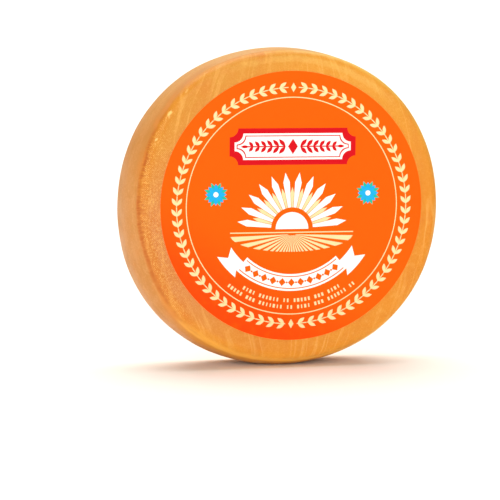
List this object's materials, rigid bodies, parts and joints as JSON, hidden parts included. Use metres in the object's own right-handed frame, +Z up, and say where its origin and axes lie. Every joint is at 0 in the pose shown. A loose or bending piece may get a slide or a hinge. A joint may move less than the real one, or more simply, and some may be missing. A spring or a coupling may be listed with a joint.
{
  "type": "washed-rind cheese wheel",
  "caption": "Round aged washed-rind cheese wheel standing on its slightly flattened rim, with a large round paper label glued to its front face.",
  "frame": {"origin": "on the floor, under the middle of the part's box, where the rim stands on its flat spot", "axes": "+Z up; the wheel's axis lies along Y and the labelled face looks along -Y; +X to the right as the label is seen"},
  "size_m": [0.2382, 0.0586, 0.2366],
  "materials": {
    "rind": "dry, faintly waxy washed rind: tan on the rim, amber on the shoulder, peach-orange and granular on the face",
    "label_paper": "smooth printed paper, satin"
  },
  "bodies": {
    "root": {"cheese_wheel": "rind", "face_label": "label_paper"}
  },
  "joints": []
}
